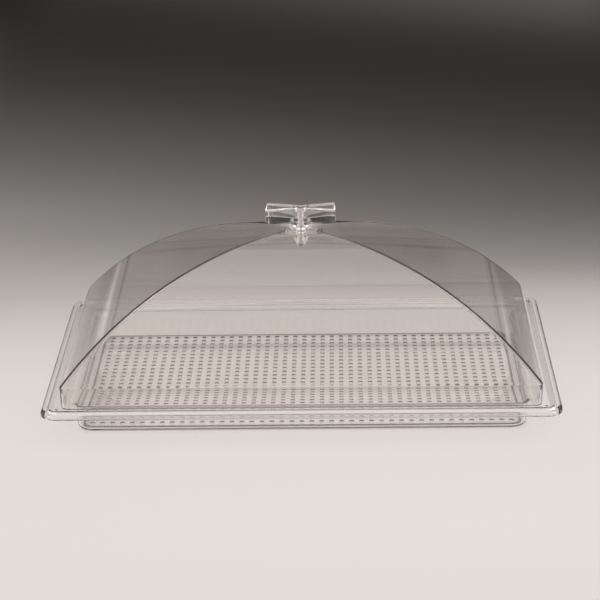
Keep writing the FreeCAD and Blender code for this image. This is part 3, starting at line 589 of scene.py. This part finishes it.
def bright_steel(name, colour, dull):
    """Bright turned steel: fine rings about the axis in its roughness and bump, over a slow cloud of
    colour."""
    material = bpy.data.materials.new(name)
    material.use_nodes = True
    nodes, links = material.node_tree.nodes, material.node_tree.links
    body = nodes["Principled BSDF"]
    body.inputs["Metallic"].default_value = 1.0
    place = nodes.new("ShaderNodeTexCoord")
    cloud = nodes.new("ShaderNodeTexNoise")
    cloud.inputs["Scale"].default_value = 350.0
    cloud.inputs["Detail"].default_value = 3.0
    links.new(place.outputs["Object"], cloud.inputs["Vector"])
    shade = tone_ramp(nodes, colour, [(0.3, 0.9), (0.7, 1.0)])
    links.new(cloud.outputs["Fac"], shade.inputs["Fac"])
    links.new(shade.outputs["Color"], body.inputs["Base Color"])
    turning = nodes.new("ShaderNodeTexWave")
    turning.wave_type = "RINGS"
    turning.rings_direction = "Z"
    turning.inputs["Scale"].default_value = 1600.0
    turning.inputs["Distortion"].default_value = 1.5
    links.new(place.outputs["Object"], turning.inputs["Vector"])
    rough = map_range(nodes, (0.0, 1.0), (0.6 * dull, dull))
    links.new(turning.outputs["Fac"], rough.inputs["Value"])
    links.new(rough.outputs["Result"], body.inputs["Roughness"])
    bump = nodes.new("ShaderNodeBump")
    bump.inputs["Strength"].default_value = 0.08
    bump.inputs["Distance"].default_value = 0.0001
    links.new(turning.outputs["Fac"], bump.inputs["Height"])
    links.new(bump.outputs["Normal"], body.inputs["Normal"])
    return material


screw_washer = washer("screw_washer_ring", "screw_washer", KNOB_BORE)
screw_washer.data.materials.append(bright_steel("screw_washer_steel", WASHER_STEEL, WASHER_DULL))
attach(screw_washer, "cover")
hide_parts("screw_washer")

# Knob screw: a bright steel machine screw with a round head and a six-sided socket. It goes down
# through the knob, the seal and the seat, and its thread ends in the cap nut.
screw_low, screw_high = box_mm("knob_screw")
HEAD_RADIUS = screw_high[0]
HEAD_TOP = screw_high[2]
HEAD_HEIGHT = 3.0
HEAD_CROWN = 1.0
SHANK_RADIUS = 3.0
SHANK_END = screw_low[2]
THREAD_PITCH = 1.0
THREAD_DEPTH = 0.5
THREAD_TOP = 186.0
THREAD_START = 0.8
THREAD_STEPS = 6
THREAD_RUNOUT = 2.0
SOCKET_FLATS = 2.0
SOCKET_DEPTH = 1.8
SCREW_STEEL = (0.80, 0.79, 0.77)
SCREW_DULL = 0.18

head_foot = HEAD_TOP - HEAD_HEIGHT
thread_z = np.arange(SHANK_END + THREAD_START, THREAD_TOP, THREAD_PITCH / THREAD_STEPS)
phase = thread_z[:, None] / THREAD_PITCH - full_turn[None] / (2.0 * np.pi)
cut_in = np.clip((THREAD_TOP - thread_z) / THREAD_RUNOUT, 0.0, 1.0)[:, None]
# The thread's radius falls and rises once per pitch, and its phase turns with the angle.
thread_r = SHANK_RADIUS - THREAD_DEPTH * cut_in * np.abs(2.0 * (phase - np.floor(phase)) - 1.0)
ray = np.stack([np.cos(full_turn), np.sin(full_turn)], axis=-1)
thread_level = np.broadcast_to(thread_z[:, None, None], thread_r.shape + (1,))
thread = np.concatenate([thread_r[:, :, None] * ray[None], thread_level], axis=-1)
tip = round_rows(full_turn, [(1.2, SHANK_END), (2.2, SHANK_END), (2.5, SHANK_END + 0.3)])
head_profile = [(SHANK_RADIUS, THREAD_TOP), (SHANK_RADIUS, head_foot), (HEAD_RADIUS, head_foot),
                (HEAD_RADIUS, HEAD_TOP), (SOCKET_FLATS + 0.8, HEAD_TOP)]
head = round_rows(full_turn, round_corners(head_profile, [0.1, 0.2, 0.2, HEAD_CROWN, 0.1]))
# A six-sided hole: its radius is half the width across flats over the cosine of the turn from the
# nearest flat.
sixth = np.mod(full_turn + np.pi / 6.0, np.pi / 3.0) - np.pi / 6.0
socket_r = SOCKET_FLATS / np.cos(sixth)
socket_floor = HEAD_TOP - SOCKET_DEPTH
socket_rows = [(1.06, HEAD_TOP), (1.0, HEAD_TOP - 0.12), (1.0, HEAD_TOP - 0.4), (1.0, socket_floor + 0.2),
               (0.97, socket_floor), (0.6, socket_floor)]
socket = np.stack([np.column_stack([(socket_r * grow)[:, None] * ray, np.full(TURN_STEPS, z)])
                   for grow, z in socket_rows])
screw = skin("knob_screw_bolt", np.concatenate([tip, thread, head, socket]))
screw.data.set_sharp_from_angle(angle=KNOB_SHARP)
screw.data.materials.append(bright_steel("knob_screw_steel", SCREW_STEEL, SCREW_DULL))
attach(screw, "cover")
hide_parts("knob_screw")

# Nut washer: a thin bright steel ring against the underside of the seat, above the cap nut.
# It carries the nut's pull without marking the plastic.
nut_washer = washer("nut_washer_ring", "nut_washer", SEAT_HOLE)
nut_washer.data.materials.append(bright_steel("nut_washer_steel", WASHER_STEEL, WASHER_DULL))
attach(nut_washer, "cover")
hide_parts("nut_washer")

# Cap nut: a clear moulded cone with a blind threaded bore, screwed on from inside the cover.
# It draws the knob down on the seat and leaves no metal end bare inside the cover.
nut_low, nut_high = box_mm("cap_nut")
NUT_RADIUS = nut_high[0]
NUT_TOP = nut_high[2]
NUT_POINT = nut_low[2]
NUT_RIM = 3.0
NUT_TIP = 3.5
NUT_BORE = 3.3
NUT_BORE_DEPTH = 11.0
NUT_MIDDLE = 1.0
NUT_ROUNDING = [0.1, 1.0, 0.6, 0.5, 0.3, 0.3, 0.1]
NUT_DEPTH = 6.0

bore_end = NUT_TOP - NUT_BORE_DEPTH
nut_profile = [(NUT_MIDDLE, NUT_POINT), (NUT_TIP, NUT_POINT), (NUT_RADIUS, NUT_TOP - NUT_RIM),
               (NUT_RADIUS, NUT_TOP), (NUT_BORE, NUT_TOP), (NUT_BORE, bore_end), (NUT_MIDDLE, bore_end)]
nut = skin("cap_nut_cone", round_rows(full_turn, round_corners(nut_profile, NUT_ROUNDING)))
nut.data.materials.append(clear_plastic("clear_nut_plastic", KNOB_TINT, KNOB_DEEP, PLASTIC_IOR,
                                        KNOB_HAZE, PLASTIC_RIPPLE, NUT_DEPTH))
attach(nut, "cover")
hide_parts("cap_nut")

# Floor: a wide matt studio sweep whose colour carries painted light: pale under the tray as a painted
# pool of light, falling to dark grey behind it as painted falloff shade. The painted dark begins nearer
# on the right, the paper stays pale far out to the sides, and its far end is painted dimmer.
FLOOR_HALF = 12.0
FLOOR_DROP = 0.0004
PAPER_TINT = (1.0, 0.955, 0.92)
# Painted light falloff: the paper's tone runs from the painted pool of light under the tray to the painted
# shade behind it.
PAINTED_FALLOFF_TONES = [(0.0, 0.82), (0.1, 0.74), (0.15, 0.58), (0.2, 0.24), (0.275, 0.12), (0.36, 0.055),
               (0.5, 0.015), (0.62, 0.20), (0.9, 0.6)]
PAPER_ROUGHNESS = 0.9
FALL_Y = (-0.4, 3.6)
SLANT_Y = (0.26, 0.6)
SLANT = (0.0, 0.36)
ASIDE_X = (0.45, 1.3)
ASIDE = (0.0, 3.2)
# Painted dimming: the far end of the paper is darkened as if less light reached it.
FAR_Y = (1.5, 2.3)
FAR_PAINTED_DIMMING = (1.0, 0.35)
floor_mesh = bpy.data.meshes.new("studio_floor")
floor_plan = np.array([(-1, -1), (1, -1), (1, 1), (-1, 1)]) * FLOOR_HALF
floor_points = np.column_stack([floor_plan, np.full(4, -FLOOR_DROP)])
floor_mesh.from_pydata(floor_points.tolist(), [], [(0, 1, 2, 3)])
floor = bpy.data.objects.new("studio_floor", floor_mesh)
bpy.context.scene.collection.objects.link(floor)
sweep = bpy.data.materials.new("studio_paper_painted_light")
sweep.use_nodes = True
nodes, links = sweep.node_tree.nodes, sweep.node_tree.links
paper = nodes["Principled BSDF"]
paper.inputs["Roughness"].default_value = PAPER_ROUGHNESS
paper.inputs["Specular IOR Level"].default_value = 0.0
place = nodes.new("ShaderNodeTexCoord")
axis = nodes.new("ShaderNodeSeparateXYZ")
links.new(place.outputs["Object"], axis.inputs["Vector"])
slant = map_range(nodes, SLANT_Y, SLANT)
links.new(axis.outputs["Y"], slant.inputs["Value"])
slanted = nodes.new("ShaderNodeMath")
slanted.operation = "MULTIPLY_ADD"
links.new(slant.outputs["Result"], slanted.inputs[0])
links.new(axis.outputs["X"], slanted.inputs[1])
links.new(axis.outputs["Y"], slanted.inputs[2])
aside = nodes.new("ShaderNodeMath")
aside.operation = "ABSOLUTE"
links.new(axis.outputs["X"], aside.inputs[0])
wide_of = map_range(nodes, ASIDE_X, ASIDE, "SMOOTHSTEP")
links.new(aside.outputs["Value"], wide_of.inputs["Value"])
nearer = nodes.new("ShaderNodeMath")
nearer.operation = "SUBTRACT"
links.new(slanted.outputs["Value"], nearer.inputs[0])
links.new(wide_of.outputs["Result"], nearer.inputs[1])
behind = map_range(nodes, FALL_Y, (0.0, 1.0))
links.new(nearer.outputs["Value"], behind.inputs["Value"])
# The paper's base colour takes the painted falloff of light.
fall = tone_ramp(nodes, PAPER_TINT, PAINTED_FALLOFF_TONES, "B_SPLINE")
links.new(behind.outputs["Result"], fall.inputs["Fac"])
far_painted_dimming = map_range(nodes, FAR_Y, FAR_PAINTED_DIMMING, "SMOOTHSTEP")
links.new(axis.outputs["Y"], far_painted_dimming.inputs["Value"])
dimmed = nodes.new("ShaderNodeVectorMath")
dimmed.operation = "SCALE"
links.new(fall.outputs["Color"], dimmed.inputs[0])
links.new(far_painted_dimming.outputs["Result"], dimmed.inputs["Scale"])
links.new(dimmed.outputs["Vector"], paper.inputs["Base Color"])
floor_mesh.materials.append(sweep)

# Light: a large soft box overhead, two weaker ones at the sides, two small ones high above the tray's
# ends, and a room that is bright in front and above and dark behind. Each soft box is given by its
# place, the point it faces, its width and depth, and its power.
SOFT_BOXES = [
    ("soft_box_top", (0.0, 0.0, 1.8), (0.0, 0.0, 0.0), 2.4, 1.8, 7.6),
    ("soft_box_left", (-1.9, -0.3, 0.9), (0.0, 0.0, 0.1), 0.9, 0.9, 1.2),
    ("soft_box_right", (1.9, -0.3, 0.9), (0.0, 0.0, 0.1), 0.9, 0.9, 1.7),
    ("soft_box_high_left", (-0.78, 0.25, 1.5), (0.0, 0.0, 0.1), 0.6, 0.8, 4.0),
    ("soft_box_high_right", (0.78, 0.25, 1.5), (0.0, 0.0, 0.1), 0.6, 0.8, 4.6),
]
for name, spot, aim, width, depth, power in SOFT_BOXES:
    lamp = bpy.data.lights.new(name, "AREA")
    lamp.shape = "RECTANGLE"
    lamp.size = width
    lamp.size_y = depth
    lamp.energy = power
    box = bpy.data.objects.new(name, lamp)
    box.location = spot
    box.rotation_euler = (Vector(aim) - Vector(spot)).to_track_quat("-Z", "Y").to_euler()
    bpy.context.scene.collection.objects.link(box)

ROOM_UP = (0.0, -0.3, 1.0)
ROOM_RISE = (-0.35, 0.65)
ROOM_TINT = (1.0, 0.965, 0.945)
WALL_TONES = [(0.05, 0.17), (0.15, 0.13), (0.25, 0.05), (0.38, 0.03)]
PANEL_TONES = [(0.38, 0.0), (0.45, 0.73), (0.6, 0.73), (0.85, 0.6), (1.0, 0.58)]
FLAG_TOWARDS = (0.29, 0.89, 0.35)
FLAG_EDGE = (0.976, 0.990)
room = bpy.data.worlds.new("studio_room")
bpy.context.scene.world = room
room.use_nodes = True
nodes, links = room.node_tree.nodes, room.node_tree.links
place = nodes.new("ShaderNodeTexCoord")
height_of = nodes.new("ShaderNodeVectorMath")
height_of.operation = "DOT_PRODUCT"
height_of.inputs[1].default_value = ROOM_UP
links.new(place.outputs["Generated"], height_of.inputs[0])
rise = map_range(nodes, ROOM_RISE, (0.0, 1.0))
links.new(height_of.outputs["Value"], rise.inputs["Value"])
walls = tone_ramp(nodes, ROOM_TINT, WALL_TONES, "EASE")
links.new(rise.outputs["Result"], walls.inputs["Fac"])
panel = tone_ramp(nodes, ROOM_TINT, PANEL_TONES, "EASE")
links.new(rise.outputs["Result"], panel.inputs["Fac"])
# Dark flags stand before the bright panel, one towards each corner of the room.
both_sides = nodes.new("ShaderNodeVectorMath")
both_sides.operation = "ABSOLUTE"
links.new(place.outputs["Generated"], both_sides.inputs[0])
flag_at = nodes.new("ShaderNodeVectorMath")
flag_at.operation = "DOT_PRODUCT"
flag_at.inputs[1].default_value = FLAG_TOWARDS
links.new(both_sides.outputs["Vector"], flag_at.inputs[0])
flag = map_range(nodes, FLAG_EDGE, (1.0, 0.0), "SMOOTHSTEP")
links.new(flag_at.outputs["Value"], flag.inputs["Value"])
flagged = nodes.new("ShaderNodeVectorMath")
flagged.operation = "MULTIPLY_ADD"
links.new(panel.outputs["Color"], flagged.inputs[0])
links.new(flag.outputs["Result"], flagged.inputs[1])
links.new(walls.outputs["Color"], flagged.inputs[2])
glow = nodes["Background"]
links.new(flagged.outputs["Vector"], glow.inputs["Color"])

# Camera: a long lens in front of the tray, a little above it, turned and tipped as the picture was
# taken.
FOCAL_PIXELS = 2148.0
PICTURE_PIXELS = 600.0
PITCH = math.radians(21.19)
YAW = math.radians(-1.135)
ROLL = math.radians(-0.946)
AIM = Vector((-0.0021, 0.0, 0.0937))
DISTANCE = 2.293
forward = Vector((math.sin(YAW) * math.cos(PITCH), math.cos(YAW) * math.cos(PITCH), -math.sin(PITCH)))
level = Vector((math.cos(YAW), -math.sin(YAW), 0.0))
upright = level.cross(forward)
right = math.cos(ROLL) * level + math.sin(ROLL) * upright
up = math.cos(ROLL) * upright - math.sin(ROLL) * level
lens = bpy.data.cameras.new("camera")
lens.sensor_width = 36.0
lens.lens = lens.sensor_width * FOCAL_PIXELS / PICTURE_PIXELS
camera = bpy.data.objects.new("camera", lens)
turned = Matrix((right, up, -forward)).transposed().to_4x4()
camera.matrix_world = Matrix.Translation(AIM - forward * DISTANCE) @ turned
bpy.context.scene.collection.objects.link(camera)
bpy.context.scene.camera = camera

# Picture: plain colours, and enough bounces for light to find its way out of the clear edges.
BOUNCES = 64
scene = bpy.context.scene
scene.view_settings.view_transform = "Standard"
scene.cycles.max_bounces = BOUNCES
scene.cycles.glossy_bounces = BOUNCES
scene.cycles.transmission_bounces = BOUNCES
scene.cycles.transparent_max_bounces = BOUNCES

bpy.context.view_layer.update()
